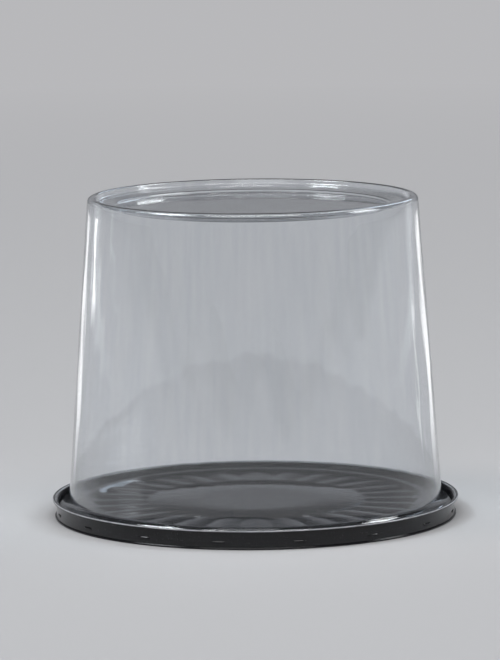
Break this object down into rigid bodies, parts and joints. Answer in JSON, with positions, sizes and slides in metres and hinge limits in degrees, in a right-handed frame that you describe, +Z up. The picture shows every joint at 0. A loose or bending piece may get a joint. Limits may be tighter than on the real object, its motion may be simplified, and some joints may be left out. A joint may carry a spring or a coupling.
{
  "type": "cake stand with dome",
  "caption": "Round black tray with a fluted floor and overhanging lip, carrying a tall clear conical dome with a sunken top that lifts straight off.",
  "frame": {"origin": "on the axis of both pieces, in the plane that the tray stands on", "axes": "+Z up along the axis of the tray and the dome; X and Y level, with a flute crest of the tray's floor on +X"},
  "size_m": [0.32, 0.32, 0.2522],
  "materials": {
    "tray_plastic": "high gloss black moulded plastic",
    "clear_plastic": "clear thermoformed plastic sheet, smooth and glossy"
  },
  "bodies": {
    "tray": {"base_tray": "tray_plastic"},
    "dome": {"dome_cover": "clear_plastic"}
  },
  "joints": [
    {"name": "dome_lift", "type": "slide", "parent": "tray", "child": "dome", "axis": [0, 0, 1], "range_m": [0, 0.26]}
  ]
}
